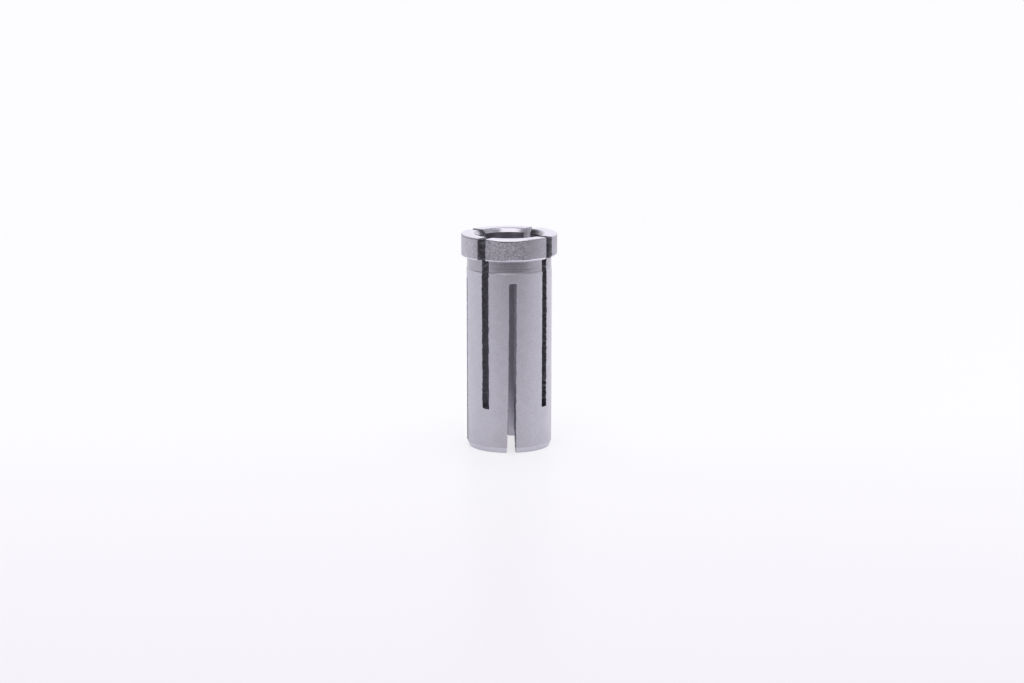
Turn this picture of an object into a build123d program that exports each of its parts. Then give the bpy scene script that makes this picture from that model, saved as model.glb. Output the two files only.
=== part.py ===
"""Router collet, in millimetres.

A reducing collet turned from one piece of steel. The ground barrel slides into the router's own
collet, the head stops it at the top, and the through bore takes the shank of the cutter. Eight saw
slots, four cut down from the head and four cut up from the foot, turn the wall into a zigzag spring,
so that the whole length closes on the shank.

The origin is the centre of the foot, with +Z up the bore to the head.
"""

import os
from math import sqrt

from build123d import *

# Bore for the shank, with a countersunk mouth in the head
bore_diameter = 9.525
mouth_flare_width = 0.34
mouth_flare_depth = 0.6
foot_bore_break = 0.15

# Barrel round the bore, its outside ground for the router to grip
wall_thickness = 1.5875
barrel_length = 27.1
foot_taper_width = 0.31
foot_taper_height = 0.8

# Neck, the shallow relief turned under the head, where the grinding of the barrel stops
neck_height = 1.82
neck_relief_depth = 0.07
neck_runout_height = 0.2
neck_corner_fillet = 0.12

# Head, the collar that stops the sleeve
head_overhang = 0.8
head_thickness = 3.24
head_top_break = 0.12
head_underside_break = 0.18

# Slots, evenly spaced in each family. The foot's family lies a little off midway between the head's.
slots_per_family = 4
slot_width = 1.12
slot_corner_break = 0.12
ring_under_head_slots = 6.53
band_over_foot_slots = 1.55
head_slot_angle = 45
foot_slot_lag = 6.4

# Heights and radii that follow
bore_radius = bore_diameter / 2
barrel_radius = bore_radius + wall_thickness
head_radius = barrel_radius + head_overhang
neck_radius = barrel_radius - neck_relief_depth
head_underside = barrel_length + neck_height
overall_length = head_underside + head_thickness
foot_slot_angle = head_slot_angle + 180 / slots_per_family - foot_slot_lag
slot_half_width = slot_width / 2
slot_corner_reach = sqrt(head_radius**2 - slot_half_width**2)


def corner(outline, radius, height):
    """The outline's corner nearest to that radius and height."""
    return outline.vertices().sort_by_distance((radius, height)).first


def slots_in_plan(first_angle):
    """One family of slots, each a strip from the axis outwards that flares at the side of the head."""
    flare_start = slot_corner_reach - slot_corner_break
    flare_end = slot_corner_reach + slot_corner_break
    flare_half_width = slot_half_width + 2 * slot_corner_break
    with PolarLocations(0, slots_per_family, start_angle=first_angle):
        Polygon(
            (0, -slot_half_width),
            (flare_start, -slot_half_width),
            (flare_end, -flare_half_width),
            (flare_end, flare_half_width),
            (flare_start, slot_half_width),
            (0, slot_half_width),
            align=None,
        )


with BuildPart() as collet:
    # The turned sleeve, as a half section spun about the bore
    with BuildSketch(Plane.XZ) as half_section:
        with BuildLine():
            Polyline(
                (bore_radius, 0),
                (barrel_radius - foot_taper_width, 0),
                (barrel_radius, foot_taper_height),
                (barrel_radius, barrel_length - neck_runout_height),
                (neck_radius, barrel_length),
                (neck_radius, head_underside),
                (head_radius, head_underside),
                (head_radius, overall_length),
                (bore_radius + mouth_flare_width, overall_length),
                (bore_radius, overall_length - mouth_flare_depth),
                close=True,
            )
        make_face()
        chamfer(corner(half_section, bore_radius, 0), foot_bore_break)
        fillet(corner(half_section, neck_radius, head_underside), neck_corner_fillet)
        chamfer(corner(half_section, head_radius, head_underside), head_underside_break)
        chamfer(corner(half_section, head_radius, overall_length), head_top_break)
    revolve(axis=Axis.Z)

    # Slots sawn down from the head
    with BuildSketch(Plane.XY.offset(ring_under_head_slots)):
        slots_in_plan(head_slot_angle)
    extrude(amount=overall_length, mode=Mode.SUBTRACT)

    # Slots sawn up from the foot
    with BuildSketch(Plane.XY):
        slots_in_plan(foot_slot_angle)
    extrude(amount=barrel_length - band_over_foot_slots, mode=Mode.SUBTRACT)

collet.part.label = "collet"

os.makedirs("parts", exist_ok=True)
export_step(collet.part, "parts/collet.step")
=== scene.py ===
"""Router collet as a finished piece on a pale studio floor, in metres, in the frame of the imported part.

The piece is one closed mesh, built as a lattice of small cells round the bore. Its columns follow the
edges of the eight slots, its layers go from the bore out to the head, and its rows go up from the foot.
"""

from collections import namedtuple
from math import cos, pi, radians, sin

import bmesh
import bpy
import numpy as np
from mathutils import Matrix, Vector


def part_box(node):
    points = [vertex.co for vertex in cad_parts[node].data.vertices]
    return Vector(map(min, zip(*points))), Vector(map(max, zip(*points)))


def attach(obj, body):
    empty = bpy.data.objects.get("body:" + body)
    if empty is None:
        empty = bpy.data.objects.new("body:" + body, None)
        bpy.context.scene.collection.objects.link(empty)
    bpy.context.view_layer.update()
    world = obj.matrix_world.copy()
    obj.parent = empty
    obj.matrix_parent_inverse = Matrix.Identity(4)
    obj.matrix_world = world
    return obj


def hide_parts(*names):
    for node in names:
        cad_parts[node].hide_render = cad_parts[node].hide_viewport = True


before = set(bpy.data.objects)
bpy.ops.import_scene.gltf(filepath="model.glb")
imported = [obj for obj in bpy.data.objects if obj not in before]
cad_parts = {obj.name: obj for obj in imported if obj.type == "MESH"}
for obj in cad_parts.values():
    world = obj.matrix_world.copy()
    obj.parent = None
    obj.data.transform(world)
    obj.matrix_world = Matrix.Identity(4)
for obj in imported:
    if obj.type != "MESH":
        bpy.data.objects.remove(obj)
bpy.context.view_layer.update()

cad_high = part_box("collet")[1]
rng = np.random.default_rng(seed=11)

# Sizes of the turned sleeve. They are the part's own, apart from the neck's runout, which is shorter.
head_radius = cad_high.x
overall_length = cad_high.z
bore_radius = 0.0047625
barrel_radius = 0.00635
barrel_length = 0.0271
head_underside = 0.02892
mouth_flare_width = 0.00034
mouth_flare_depth = 0.0006
foot_bore_break = 0.00015
foot_taper_width = 0.00031
foot_taper_height = 0.0008
neck_relief_depth = 0.00007
neck_runout_height = 0.0001
neck_corner_fillet = 0.00012

# Slots. The tuples go round the bore slot by slot, with a pair where a slot's two edges may differ.
slots_per_family = 4
slot_half_width = 0.00058
head_slots_end = 0.00653
foot_slots_end = 0.02555
head_slot_angle = radians(45)
foot_slot_angle = radians(83.6)
foot_slot_turns = (radians(4.5), radians(3), radians(0.7), radians(-1))
foot_slot_skews = (0, 0, 0.12, 0)
foot_skew_height = 0.004
head_slot_flares = ((0.00012, 0.00012), (0.00012, 0.00012), (0.0002, 0.00008), (0.00016, 0.00016))
flare_roundness = 1.5
slot_corner_round = 0.0002
edge_break = 0.00004

# How far the slots' edges stray. The saw left marks and wandered, more at a rougher edge. The lower ends
# of the slots are bent, and the feet between the foot slots have sprung apart.
saw_mark_depth = 0.000024
saw_mark_pitch = 0.00024
slot_wander = 0.000014
slot_wander_pitch = 0.0007
head_slot_roughness = ((1, 1), (1, 1), (1, 1), (0.8, 2))
head_slot_leans = (0.00004, -0.00005, 0.00014, -0.0001)
foot_slot_leans = (0.00012, 0.00006, -0.00022, -0.00004)
foot_spring = 0.00011
foot_spring_height = 0.009

# Head edges. The rim is worn most at the front, and the underside's break is widest at the right.
edge_roundness = 1.25
head_top_break = 0.00012
mouth_edge_width = 0.0002
mouth_edge_height = 0.00015
rim_wear_angle = radians(-100.8)
rim_wear_spread = radians(15)
rim_wear_flatness = 4
rim_wear_depth = 0.00005
rim_wear_height = 0.00012
rim_wear_raggedness = 0.08
ragged_degrees = np.arange(0, 361, 3)
raggedness = 1 + rim_wear_raggedness * rng.normal(size=len(ragged_degrees))
# Height of the painted shade line under the rim's break.
painted_shade_line_height = 0.00008
underside_break = 0.00022
underside_break_swing = 0.00012
underside_break_angle = radians(-10.8)
underside_break_fall = 0.2

# Lattice. Layers are shares of the way out, first through the sleeve and then through the head.
row_pitch = 0.00012
fine_pitch = 0.00003
column_pitch = radians(3)
slot_columns = 3
sleeve_layers = (0, 0.35, 0.7, 0.93, 1)
head_layers = (0.4, 0.8, 1)
sharp_angle = radians(20)
slot_wall, round_side, level_face = range(3)

# Camera
camera_azimuth = radians(-10.8)
camera_elevation = radians(11.45)
camera_distance = 0.36
camera_target_height = 0.01569
camera_target_right = 0.000421
camera_lens = 84.4
camera_clip_start = 0.0036

front = Vector((sin(camera_azimuth), -cos(camera_azimuth), 0))
right = Vector((cos(camera_azimuth), sin(camera_azimuth), 0))
up = Vector((0, 0, 1))

# Floor. Levels are shares of its colour. Its colour is painted darker and a little violet towards the
# camera, as painted shade of the light's fall-off.
# Starts and stops are metres from the object, towards the camera for that painted shade and the dark, and
# any way out for the share that is seen as plain colour.
floor_reach = 4
floor_roughness = 0.35
floor_far_colour = (0.982, 0.98, 1)
floor_near_colour = (0.89, 0.866, 0.925)
floor_painted_shade_start = -0.02
floor_painted_shade_stop = 0.14
floor_plain_share = 0.72
floor_mirrored_plain_share = 0.35
floor_plain_start = 0.1
floor_plain_stop = 0.6
floor_dark_start = 0.1
floor_dark_stop = 0.14
floor_dark_level = 0.26
dark_azimuth = radians(5)

# World. Starts and stops are cosines to a direction, and the ceilings are heights on the unit sphere.
world_colour = (0.975, 0.96, 1)
world_back_level = 1.02
world_side_level = 0.56
world_side_start = -1
world_side_stop = 0.5
world_front_share = 0.27
world_front_start = 0.65
world_front_stop = 0.88
world_glow_azimuth = radians(140)
world_glow_share = 1.65
world_glow_start = 0.85
world_glow_stop = 0.97
world_left_ceiling = 0.25
world_ceiling = 0.68
world_ceiling_start = -0.86
world_ceiling_stop = -0.62
world_ceiling_run = 0.2
world_ceiling_share = 0.15

# Softboxes
softbox_distance = 2
key_azimuth = radians(-4)
key_elevation = radians(48)
key_width = 2.1
key_height = 1
key_level = 1.42
key_colour = (1, 0.98, 0.95)
top_elevation = radians(90)
top_width = 1.8
top_level = 2.3

# Steel's grey at level 1, a little towards violet, and how its noise is drawn
steel_tint = (1.01, 0.985, 1.1)
patch_size = 0.0015
slot_patch_size = 0.0004
noise_roughness = 0.55
line_stretch = 40
line_detail = 1
grain_detail = 2.5

SlotEdge = namedtuple("SlotEdge", "angle side lean skew flare roughness from_head")
Column = namedtuple("Column", "edge share in_slot")
Ramp = namedtuple("Ramp", "way low high share")


def facing(azimuth):
    """The level direction at that azimuth, turned to the right from the camera's side of the object."""
    return front * cos(azimuth) + right * sin(azimuth)


def spaced(runs, last):
    """Rising values, in runs of (start, pitch) that each go up to the next start, and then the last one."""
    stops = [start for start, _ in runs[1:]] + [last]
    values = [
        np.linspace(start, stop, max(1, round((stop - start) / pitch)), endpoint=False)
        for (start, pitch), stop in zip(runs, stops)
    ]
    return np.append(np.concatenate(values), last)


def wavering(count, pitch_rows):
    """One value a row, wandering smoothly about zero, with a turn every few rows."""
    knots = rng.normal(size=int(count / pitch_rows) + 2)
    return np.interp(np.arange(count) / pitch_rows, np.arange(len(knots)), knots)


def broken(share):
    """How far a broken edge falls back, as a share of its depth. It is 1 at the corner and 0 at its end."""
    return np.clip(1 - share, 0, 1) ** edge_roundness


def bore_profile(height):
    """Radius of the bore at those heights, with its broken foot edge and its countersunk, worn mouth."""
    flare = (height - overall_length + mouth_flare_depth) * mouth_flare_width / mouth_flare_depth
    worn = broken((overall_length - height) / mouth_edge_height) * mouth_edge_width
    return bore_radius + np.maximum(0, foot_bore_break - height) + np.maximum(0, flare) + worn


def sleeve_profile(height):
    """Radius outside the sleeve at those heights. Above the neck it runs on inside the head."""
    taper = foot_taper_width * np.clip(1 - height / foot_taper_height, 0, 1)
    relief = neck_relief_depth * np.clip((height - barrel_length) / neck_runout_height + 1, 0, 1)
    rise = np.clip(height - head_underside + neck_corner_fillet, 0, neck_corner_fillet)
    fillet = neck_corner_fillet - np.sqrt(neck_corner_fillet**2 - rise**2)
    return barrel_radius - taper - relief + fillet


def rim_wear(angle):
    """How worn the rim is at those angles, from 0 to about 1."""
    off_wear = np.angle(np.exp(1j * (angle - rim_wear_angle)))
    ragged = np.interp(np.degrees(angle) % 360, ragged_degrees, raggedness)
    return ragged * np.exp(-((off_wear / rim_wear_spread) ** rim_wear_flatness))


def head_profile(height, angle):
    """Radius of the head at those heights and angles, with its broken edges."""
    wear = rim_wear(angle)
    top_height = head_top_break + rim_wear_height * wear
    top_depth = head_top_break + rim_wear_depth * wear
    top_fall = broken((overall_length - height) / top_height) * top_depth
    low_break = underside_break + underside_break_swing * np.cos(angle - underside_break_angle)
    low_fall = broken((height - head_underside) / low_break) * low_break
    return head_radius - top_fall - low_fall


def slot_edges():
    """The 16 edges of the slots in order round the bore, with head and foot slots in turn."""
    edges = []
    for number in range(slots_per_family):
        quarter = 2 * pi * number / slots_per_family
        angle = head_slot_angle + quarter
        lean = head_slot_leans[number]
        for side, flare, rough in zip((-1, 1), head_slot_flares[number], head_slot_roughness[number]):
            edges.append(SlotEdge(angle, side, lean, 0, flare, rough, True))
        angle = foot_slot_angle + quarter + foot_slot_turns[number]
        lean, skew = foot_slot_leans[number], foot_slot_skews[number]
        for side in (-1, 1):
            edges.append(SlotEdge(angle, side, lean, skew, 0, 1, False))
    return edges


def lattice_columns(edges):
    """Columns by where they start: after which slot edge, and at what share of the way to the next one."""
    columns = []
    for number, edge in enumerate(edges):
        if edge.side < 0:
            shares = np.linspace(0, 1, slot_columns, endpoint=False)
        else:
            next_angle = edges[(number + 1) % len(edges)].angle
            span = (next_angle - edge.angle) % (2 * pi) - 2 * slot_half_width / barrel_radius
            lip = edge_break / barrel_radius / span
            shares = np.append(0, np.linspace(lip, 1 - lip, round(span / column_pitch)))
        columns += [Column(number, share, edge.side < 0) for share in shares]
    return columns


def lattice_rows():
    """Heights of the rows. Each run starts where an outline turns or a slot ends."""
    runs = [
        (0, foot_bore_break),
        (foot_bore_break, row_pitch),
        (foot_taper_height, row_pitch),
        (head_slots_end - edge_break, edge_break),
        (head_slots_end, row_pitch),
        (foot_slots_end, edge_break),
        (foot_slots_end + edge_break, row_pitch),
        (barrel_length - neck_runout_height, neck_runout_height),
        (barrel_length, row_pitch),
        (head_underside - neck_corner_fillet, fine_pitch),
        (head_underside, 2 * fine_pitch),
        (head_underside + 2 * underside_break, row_pitch),
        (overall_length - mouth_flare_depth, row_pitch),
        (overall_length - rim_wear_height - head_top_break, fine_pitch),
    ]
    return spaced(runs, overall_length)


def edge_strays(edges, rows):
    """How far each slot edge strays from its place at each row.

    There are saw marks, a bend, fingers that have sprung out, and a round in one corner of the slot's end.
    """
    strays = []
    for edge in edges:
        marks = saw_mark_depth * wavering(len(rows), saw_mark_pitch / row_pitch)
        wander = slot_wander * wavering(len(rows), slot_wander_pitch / row_pitch)
        stray = edge.roughness * (marks + wander)
        stray += edge.lean * np.clip(1 - rows / head_underside, 0, 1) ** 2
        if not edge.from_head:
            stray += edge.side * foot_spring * np.clip(1 - rows / foot_spring_height, 0, 1)
        if edge.side < 0:
            past_end = head_slots_end - rows if edge.from_head else rows - foot_slots_end
            into_round = np.clip(1 + past_end / slot_corner_round, 0, 1)
            stray += slot_corner_round * (1 - np.sqrt(1 - into_round**2))
        strays.append(stray)
    return strays


def edge_angles(edges, strays, number, rows, radius):
    """Angle of one slot edge at each row and its radius. Numbers past the last edge go on round the bore.

    A slot's two walls are parallel, but flare in the head, and lean over together where the slot is skewed.
    """
    turns, number = divmod(number, len(edges))
    edge = edges[number]
    outwards = radius - barrel_radius
    flare = edge.flare * np.clip(outwards / (head_radius - barrel_radius), 0, 1) ** flare_roundness
    skewed = edge.skew * outwards * np.clip(rows / foot_skew_height, 0, 1)
    offset = edge.side * (slot_half_width + flare) + skewed + strays[number]
    return edge.angle + 2 * pi * turns + np.arcsin(offset / radius)


def lattice_points(edges, columns, rows):
    """Corner points [column, layer, row] of the lattice."""
    bore, sleeve = bore_profile(rows), sleeve_profile(rows)
    strays = edge_strays(edges, rows)
    layers = [(bore + (sleeve - bore) * share, 0) for share in sleeve_layers]
    layers += [(sleeve + (head_radius - sleeve) * share, share) for share in head_layers]
    points = np.zeros((len(columns), len(layers), len(rows), 3))
    for number, column in enumerate(columns):
        for layer, (radius, head_share) in enumerate(layers):
            start = edge_angles(edges, strays, column.edge, rows, radius)
            stop = edge_angles(edges, strays, column.edge + 1, rows, radius)
            angle = start + column.share * (stop - start)
            radius = radius + (head_profile(rows, angle) - head_radius) * head_share
            points[number, layer] = np.stack([radius * np.cos(angle), radius * np.sin(angle), rows], -1)
    return points


def steel_cells(edges, columns, rows):
    """Which cells [column, layer, row] of the lattice are steel, and not slot or the air under the head."""
    sleeve_cells = len(sleeve_layers) - 1
    middle = (rows[1:] + rows[:-1]) / 2
    steel = np.zeros((len(columns), sleeve_cells + len(head_layers), len(middle)), bool)
    for number, column in enumerate(columns):
        kept = np.ones(len(middle), bool)
        if column.in_slot:
            from_head = edges[column.edge].from_head
            kept = middle < head_slots_end if from_head else middle > foot_slots_end
        steel[number, :sleeve_cells] = kept
        steel[number, sleeve_cells:] = kept & (middle > head_underside)
    return steel


def break_slot_edges(points, steel):
    """Draws the slots' sharp edges back a little, outside and in the bore."""
    outer = len(sleeve_layers) - 1
    for layer, cells, way in ((outer, steel[:, outer - 1], -1), (0, steel[:, 0], 1)):
        cells = np.concatenate([cells[:, :1], cells, cells[:, -1:]], 1)
        before = np.roll(cells, 1, 0)
        near = [cells[:, 1:], cells[:, :-1], before[:, 1:], before[:, :-1]]
        at_edge = np.any(near, 0) & ~np.all(near, 0)
        flat = points[:, layer, :, :2]
        length = np.linalg.norm(flat, axis=-1, keepdims=True)
        flat += flat / length * (way * edge_break) * at_edge[..., None]


def lattice_faces(steel):
    """Quads where steel meets air, as four corner numbers each, with their kinds and their cells."""
    columns, layers, rows = steel.shape
    filled = np.pad(steel, ((0, 0), (1, 1), (1, 1)))
    inside = filled[:, 1:-1, 1:-1]
    column_step, layer_step, row_step = np.eye(3, dtype=int)

    def corner(column, layer, row):
        return ((column % columns) * (layers + 1) + layer) * (rows + 1) + row

    quads, kinds, cells = [], [], []
    for kind, meets_air, one_way, other_way in (
        (slot_wall, inside != np.roll(inside, 1, 0), layer_step, row_step),
        (round_side, filled[:, 1:, 1:-1] != filled[:, :-1, 1:-1], column_step, row_step),
        (level_face, filled[:, 1:-1, 1:] != filled[:, 1:-1, :-1], column_step, layer_step),
    ):
        cell = np.argwhere(meets_air)
        ring = (cell, cell + one_way, cell + one_way + other_way, cell + other_way)
        quads.append(np.stack([corner(*place.T) for place in ring], -1))
        kinds.append(np.full(len(cell), kind))
        cells.append(cell)
    return np.concatenate(quads), np.concatenate(kinds), np.concatenate(cells)


def face_finishes(kinds, cells, rows, from_head, angles, rises):
    """Number of each face's finish. Angles tell where faces are, and rises how steeply they look up or down.

    Faces that no line claims are the head slots' walls and the ends of all slots. A later line has the last
    word.
    """
    column, layer, row = cells.T
    low, high = rows[row], rows[np.minimum(row + 1, len(rows) - 1)]
    middle = (low + high) / 2
    below_top = overall_length - middle
    top_break = head_top_break + rim_wear_height * rim_wear(angles)
    level = kinds == level_face
    in_bore = (kinds == round_side) & (layer == 0)
    outside = (kinds == round_side) & (layer > 0)
    on_head = outside & (middle > head_underside)

    names = list(finishes)
    numbers = np.full(len(kinds), names.index("sawn_slot_painted_light_and_shade"))
    for name, claimed in (
        ("sawn_foot_slot_painted_light_and_shade", (kinds == slot_wall) & ~from_head[column]),
        ("reamed_bore_painted_light", in_bore),
        ("polished_mouth_painted_reflection", in_bore & (middle > overall_length - mouth_flare_depth)),
        ("ground_barrel_painted_shade", outside),
        ("turned_foot", outside & (middle < foot_taper_height)),
        ("neck_runout", outside & (middle > barrel_length - neck_runout_height)),
        ("turned_neck", outside & (middle > barrel_length)),
        ("turned_head_painted_light", on_head),
        ("painted_shade_line", on_head & (below_top < top_break + painted_shade_line_height)),
        ("worn_edge", on_head & (below_top < top_break)),
        ("faced_top", on_head & (rises < -underside_break_fall)),
        ("faced_top", level & np.isin(row, (0, len(rows) - 1))),
        ("turned_neck", level & np.isclose(low, head_underside)),
    ):
        numbers[claimed] = names.index(name)
    return numbers


def build_collet():
    """The whole collet as one closed mesh, with a finish for each kind of surface."""
    edges = slot_edges()
    columns = lattice_columns(edges)
    rows = lattice_rows()
    points = lattice_points(edges, columns, rows)
    steel = steel_cells(edges, columns, rows)
    break_slot_edges(points, steel)
    quads, kinds, cells = lattice_faces(steel)

    used, numbers = np.unique(quads, return_inverse=True)
    mesh = bpy.data.meshes.new("collet_body")
    mesh.from_pydata(points.reshape(-1, 3)[used].tolist(), [], numbers.reshape(-1, 4).tolist())
    shape = bmesh.new()
    shape.from_mesh(mesh)
    bmesh.ops.recalc_face_normals(shape, faces=shape.faces)
    shape.to_mesh(mesh)
    shape.free()

    for name, look in finishes.items():
        mesh.materials.append(steel_finish(name, **look))
    from_head = np.array([edges[column.edge].from_head for column in columns])
    centres = np.array([face.center for face in mesh.polygons])
    angles = np.arctan2(centres[:, 1], centres[:, 0])
    rises = np.array([face.normal.z for face in mesh.polygons])
    finish_numbers = face_finishes(kinds, cells, rows, from_head, angles, rises)
    mesh.polygons.foreach_set("material_index", finish_numbers)
    mesh.polygons.foreach_set("use_smooth", np.ones(len(quads), bool))
    mesh.set_sharp_from_angle(angle=sharp_angle)
    return placed("collet_body", mesh)


def placed(name, data):
    """A new object in the scene."""
    made = bpy.data.objects.new(name, data)
    bpy.context.scene.collection.objects.link(made)
    return made


def emptied(owner):
    """The node tree of a new material or world, without the nodes that it comes with."""
    owner.use_nodes = True
    owner.node_tree.nodes.clear()
    return owner.node_tree


def put(tree, kind, inputs=(), **settings):
    """Adds a node, sets its settings, and gives each named or numbered input a value or a link."""
    made = tree.nodes.new("ShaderNode" + kind)
    for name, value in settings.items():
        setattr(made, name, value)
    for name, value in dict(inputs).items():
        if isinstance(value, bpy.types.NodeSocket):
            tree.links.new(value, made.inputs[name])
        else:
            made.inputs[name].default_value = value
    return made


def between(tree, factor, first, second):
    """A number between two numbers, by a factor from 0 to 1."""
    return put(tree, "Mix", {0: factor, 2: first, 3: second}).outputs[0]


def blended(tree, factor, first, second):
    """A colour between two colours, by a factor from 0 to 1."""
    inputs = {0: factor, 6: (*first, 1), 7: (*second, 1)}
    return put(tree, "Mix", inputs, data_type="RGBA").outputs[2]


def scaled(tree, value, low, high, to_low, to_high):
    """A value carried from one range to another, and held inside it."""
    inputs = {0: value, 1: low, 2: high, 3: to_low, 4: to_high}
    return put(tree, "MapRange", inputs).outputs[0]


def towards(tree, place, way):
    """How far a place or a direction reaches along a way."""
    return put(tree, "VectorMath", {0: place, 1: way}, operation="DOT_PRODUCT").outputs["Value"]


def product(tree, values):
    """Several numbers or links multiplied together."""
    result = 1
    for value in values:
        result = put(tree, "Math", {0: result, 1: value}, operation="MULTIPLY").outputs[0]
    return result


def dimmed(tree, colour, share):
    """A colour at a share of its own brightness."""
    return put(tree, "VectorMath", {0: colour, "Scale": share}, operation="SCALE").outputs[0]


def ramped(tree, place, ramps):
    """A share by place. Each ramp is its share up to the low place on its way, and 1 from the high one."""
    return product(tree, [
        scaled(tree, towards(tree, place, ramp.way), ramp.low, ramp.high, ramp.share, 1) for ramp in ramps
    ])


def speckle(tree, place, size, stretch=1, detail=2, low=0.2, high=0.8):
    """Noise from 0 to 1 with spots of that size, stretched along the turning marks so many times."""
    spread = (1 / (size * stretch), 1 / (size * stretch), 1 / size)
    mapped = put(tree, "Mapping", {"Vector": place, "Scale": spread})
    inputs = {"Vector": mapped.outputs[0], "Scale": 1, "Detail": detail, "Roughness": noise_roughness}
    return scaled(tree, put(tree, "TexNoise", inputs).outputs[0], low, high, 0, 1)


def steel_colour(tree, place, tones, patch, speck, painted_shades, fade):
    """Steel in patches of two tones, with specks as (strength, size), and painted light and shade by place.
    """
    greys = [[tone * channel for channel in steel_tint] for tone in tones]
    colour = blended(tree, speckle(tree, place, patch), *greys)
    if speck:
        strength, size = speck
        spots = speckle(tree, place, size, low=0.3, high=0.7)
        share = scaled(tree, spots, 0, 1, 1 - strength, 1 + strength)
        colour = dimmed(tree, colour, between(tree, fade, 1, share))
    if painted_shades:
        colour = dimmed(tree, colour, ramped(tree, place, painted_shades))
    return colour


def steel_relief(tree, place, lines, grain, fade):
    """The shader's input for its normal, if there are turned lines or grain, each as (depth, size)."""
    normal = {}
    for marks, stretch, detail in ((lines, line_stretch, line_detail), (grain, 1, grain_detail)):
        if marks:
            depth, size = marks
            height = speckle(tree, place, size, stretch, detail)
            bump = put(tree, "Bump", {"Height": height, "Distance": depth, "Strength": fade, **normal})
            normal = {"Normal": bump.outputs[0]}
    return normal


def steel_finish(
    name, tones, roughness, patch=patch_size, lines=None, grain=None, speck=None, painted_shades=(), fades=()
):
    """Bare steel. Its painted light and shade are ramps for its tone, and fades are ramps for the strength
    of its marks and specks.
    """
    material = bpy.data.materials.new(name)
    tree = emptied(material)
    place = put(tree, "TexCoord").outputs["Object"]
    fade = ramped(tree, place, fades)
    colour = steel_colour(tree, place, tones, patch, speck, painted_shades, fade)
    inputs = {"Base Color": colour, "Metallic": 1, "Roughness": roughness}
    inputs |= steel_relief(tree, place, lines, grain, fade)
    shader = put(tree, "BsdfPrincipled", inputs)
    put(tree, "OutputMaterial", {"Surface": shader.outputs[0]})
    return material


# Painted light and shade on the tones: the mouth has painted dark reflections in a band towards either side,
# the bore painted light towards the foot, the slots painted shade towards their lower ends and the back
# right slot painted light.
# The barrel has painted shade near the foot and the head painted light at its left edge. The head's grain is
# strongest in the middle.
finishes = {
    "turned_foot": dict(tones=(0.59, 0.66), roughness=0.36, speck=(0.06, 0.0002)),
    # Ground barrel with painted shade near the foot.
    "ground_barrel_painted_shade": dict(
        tones=(0.55, 0.6), roughness=0.42, grain=(0.000006, 0.00015), speck=(0.08, 0.0002),
        painted_shades=[Ramp(up, low=0.0005, high=0.004, share=0.95)],
    ),
    "neck_runout": dict(tones=(0.38, 0.44), roughness=0.28),
    "turned_neck": dict(
        tones=(0.37, 0.45), roughness=0.24, lines=(0.000006, 0.00025), speck=(0.08, 0.0002),
    ),
    # Turned head with painted light at its left edge. Its fades make the grain strongest in the middle.
    "turned_head_painted_light": dict(
        tones=(0.375, 0.465), roughness=0.36, grain=(0.00012, 0.00024), speck=(0.35, 0.0003),
        painted_shades=[Ramp(right, low=-0.0064, high=-0.0042, share=1.25)],
        fades=[
            Ramp(right, low=-0.006, high=-0.002, share=0.4),
            Ramp(-right, low=-0.0035, high=-0.0005, share=0.3),
        ],
    ),
    # A painted shade line under the rim's break, darker on the left.
    "painted_shade_line": dict(
        tones=(0.37, 0.42), roughness=0.4, speck=(0.1, 0.0002),
        painted_shades=[Ramp(right, low=-0.001, high=0.003, share=0.5)],
    ),
    "worn_edge": dict(tones=(0.46, 0.53), roughness=0.3, speck=(0.12, 0.0002)),
    "faced_top": dict(tones=(0.79, 0.84), roughness=0.3),
    # Polished mouth with painted dark reflections in a band towards either side.
    "polished_mouth_painted_reflection": dict(
        tones=(0.5, 0.56), roughness=0.24,
        painted_shades=[
            Ramp(right, low=0.0025, high=0.0037, share=3.3),
            Ramp(right, low=0.0042, high=0.0051, share=0.3),
            Ramp(-right, low=0.0029, high=0.0044, share=2.2),
            Ramp(-right, low=0.0045, high=0.0051, share=0.45),
        ],
    ),
    # Reamed bore with painted light towards the foot.
    "reamed_bore_painted_light": dict(
        tones=(0.36, 0.43), roughness=0.32, lines=(0.000002, 0.0002),
        painted_shades=[Ramp(up, low=0.001, high=0.011, share=1.8)],
    ),
    # Head slots' walls: dark tones partly the sawn steel's own and partly painted shade, painted shade
    # towards their lower ends, and painted light in the back right slot.
    "sawn_slot_painted_light_and_shade": dict(
        tones=(0.14, 0.44), roughness=0.5, patch=slot_patch_size,
        lines=(0.00004, 0.00025), grain=(0.00001, 0.00012),
        painted_shades=[
            Ramp(up, low=0.0065, high=0.009, share=0.55),
            Ramp(facing(radians(-30)), low=-0.0045, high=-0.003, share=1.4),
        ],
    ),
    # Foot slots' walls: their light tones are painted light, with painted shade towards their lower ends.
    "sawn_foot_slot_painted_light_and_shade": dict(
        tones=(0.4, 0.9), roughness=0.6, patch=slot_patch_size,
        lines=(0.00006, 0.00025), grain=(0.00001, 0.00012),
        painted_shades=[Ramp(up, low=0.006, high=0.011, share=0.62)],
    ),
}


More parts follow.
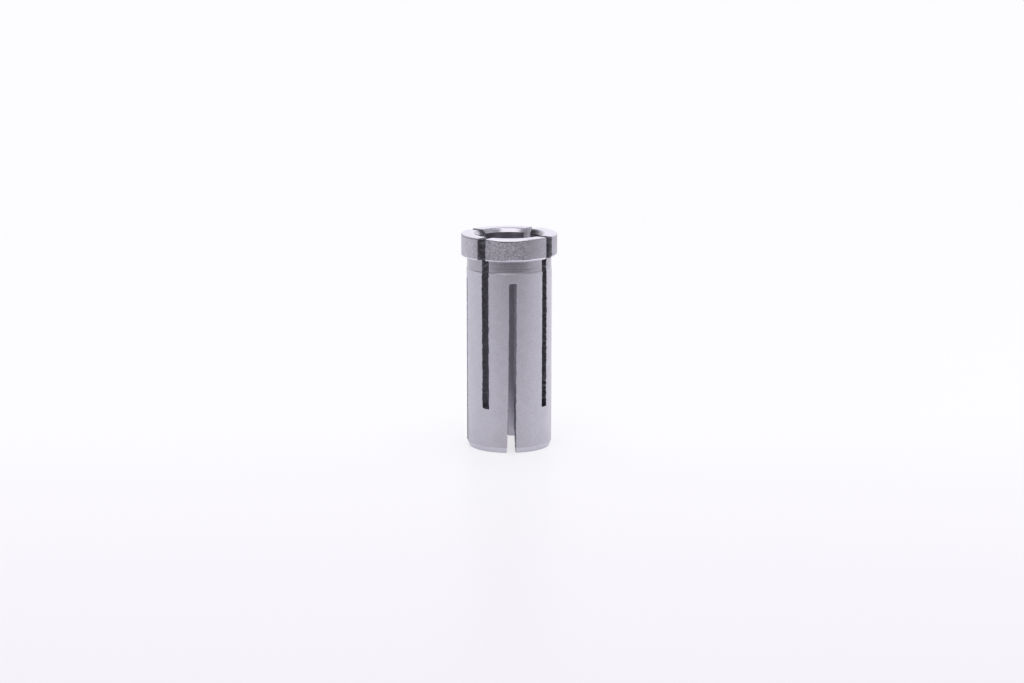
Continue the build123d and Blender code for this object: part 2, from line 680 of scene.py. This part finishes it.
def floor_material():
    """Pale, and mostly seen as plain white. Metal sees it fall dark towards the camera."""
    material = bpy.data.materials.new("pale_floor")
    tree = emptied(material)
    place = put(tree, "TexCoord").outputs["Object"]
    rays = put(tree, "LightPath").outputs
    # Painted shade: the floor's colour darkens towards the camera.
    near = scaled(tree, towards(tree, place, front), floor_painted_shade_start, floor_painted_shade_stop, 0, 1)
    tint = blended(tree, near, floor_far_colour, floor_near_colour)
    to_dark = towards(tree, place, facing(dark_azimuth))
    mirrored = scaled(tree, to_dark, floor_dark_start, floor_dark_stop, 1, floor_dark_level)
    colour = dimmed(tree, tint, between(tree, rays["Is Glossy Ray"], 1, mirrored))
    lit = put(tree, "BsdfPrincipled", {"Base Color": colour, "Roughness": floor_roughness})
    plain = put(tree, "Emission", {"Color": colour})
    distance = put(tree, "VectorMath", {0: place}, operation="LENGTH").outputs["Value"]
    seen_share = scaled(tree, distance, floor_plain_start, floor_plain_stop, floor_plain_share, 1)
    straight = {0: rays["Is Camera Ray"], 1: rays["Is Transmission Ray"]}
    seen = put(tree, "Math", straight, operation="ADD").outputs[0]
    share = between(tree, seen, 0, seen_share)
    share = between(tree, rays["Is Glossy Ray"], share, floor_mirrored_plain_share)
    mixed = put(tree, "MixShader", {0: share, 1: lit.outputs[0], 2: plain.outputs[0]})
    put(tree, "OutputMaterial", {"Surface": mixed.outputs[0]})
    return material


def build_floor():
    """One large square under the foot."""
    mesh = bpy.data.meshes.new("floor")
    corners = [(x * floor_reach, y * floor_reach, 0) for x, y in ((-1, -1), (1, -1), (1, 1), (-1, 1))]
    mesh.from_pydata(corners, [], [(0, 1, 2, 3)])
    mesh.materials.append(floor_material())
    floor = placed("floor", mesh)


def world_level(tree, direction):
    """How bright the surroundings are: dimmer in front, with a glow behind and a dark ceiling."""
    to_front = towards(tree, direction, front)
    to_dark = towards(tree, direction, facing(dark_azimuth))
    to_glow = towards(tree, direction, facing(world_glow_azimuth))
    to_right = towards(tree, direction, right)
    sides = scaled(tree, to_front, world_side_start, world_side_stop, world_back_level, world_side_level)
    in_front = scaled(tree, to_dark, world_front_start, world_front_stop, 1, world_front_share)
    glow = scaled(tree, to_glow, world_glow_start, world_glow_stop, 1, world_glow_share)
    ceiling = scaled(
        tree, to_right, world_ceiling_start, world_ceiling_stop, world_left_ceiling, world_ceiling
    )
    height = put(tree, "SeparateXYZ", {0: direction}).outputs["Z"]
    over = put(tree, "Math", {0: height, 1: ceiling}, operation="SUBTRACT").outputs[0]
    overhead = scaled(tree, over, 0, world_ceiling_run, 1, world_ceiling_share)
    return product(tree, (sides, in_front, glow, overhead))


def build_world():
    """Pale surroundings that light the object. The camera itself sees plain white."""
    world = bpy.data.worlds.new("studio")
    bpy.context.scene.world = world
    tree = emptied(world)
    level = world_level(tree, put(tree, "TexCoord").outputs["Generated"])
    light = put(tree, "Background", {"Color": (*world_colour, 1), "Strength": level})
    backdrop = put(tree, "Background", {"Color": (*floor_far_colour, 1), "Strength": 1})
    camera_ray = put(tree, "LightPath").outputs["Is Camera Ray"]
    mixed = put(tree, "MixShader", {0: camera_ray, 1: light.outputs[0], 2: backdrop.outputs[0]})
    put(tree, "OutputWorld", {"Surface": mixed.outputs[0]})


def build_softbox(name, azimuth, elevation, width, height, radiance, colour):
    """A soft lamp that faces the object. Azimuth is turned from the camera's side of the object."""
    lamp = bpy.data.lights.new(name, "AREA")
    lamp.shape = "RECTANGLE"
    lamp.size = width
    lamp.size_y = height
    lamp.energy = radiance * pi * width * height
    lamp.color = colour
    softbox = placed(name, lamp)
    away = facing(azimuth) * cos(elevation) + up * sin(elevation)
    softbox.location = away * softbox_distance
    softbox.rotation_euler = (-away).to_track_quat("-Z", "Y").to_euler()
    softbox.visible_camera = False


def build_camera():
    """The photograph's own view."""
    camera = placed("camera", bpy.data.cameras.new("camera"))
    camera.data.lens = camera_lens
    camera.data.clip_start = camera_clip_start
    back = front * cos(camera_elevation) + up * sin(camera_elevation)
    camera.location = up * camera_target_height + right * camera_target_right + back * camera_distance
    camera.rotation_euler = (-back).to_track_quat("-Z", "Y").to_euler()
    bpy.context.scene.camera = camera


build_camera()
build_floor()
build_world()
build_softbox("key_softbox", key_azimuth, key_elevation, key_width, key_height, key_level, key_colour)
build_softbox("top_softbox", 0, top_elevation, top_width, top_width, top_level, world_colour)

body = build_collet()
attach(body, "root")
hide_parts("collet")

bpy.context.scene.view_settings.view_transform = "Standard"
